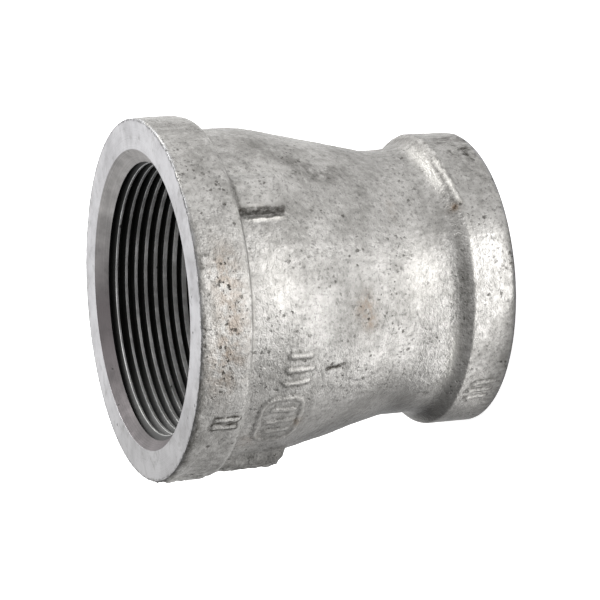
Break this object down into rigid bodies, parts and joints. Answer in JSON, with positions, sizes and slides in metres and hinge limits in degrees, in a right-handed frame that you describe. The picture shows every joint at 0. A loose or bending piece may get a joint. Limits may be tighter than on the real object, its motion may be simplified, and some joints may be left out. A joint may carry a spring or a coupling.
{
  "type": "concentric pipe reducer coupling",
  "caption": "Banded concentric reducing coupling in galvanized malleable iron, with a tapered female pipe thread at each end.",
  "frame": {"origin": "centre of the small end's face, which is the underside", "axes": "+Z along the axis from the small end up to the large end; -Y is the side with the raised cast marks' middle"},
  "size_m": [0.0754, 0.0754, 0.0714],
  "materials": {
    "machined_iron": "turned end faces and chamfers, dark oily tapped threads",
    "zinc_outside": "hot-dip galvanized over a rough casting, dull silver-grey with small pits and smears",
    "zinc_inside": "hot-dip galvanized over a rough casting, dull grey"
  },
  "bodies": {
    "root": {"iron_casting": "machined_iron", "outer_zinc_coat": "zinc_outside", "inner_zinc_coat": "zinc_inside"}
  },
  "joints": []
}
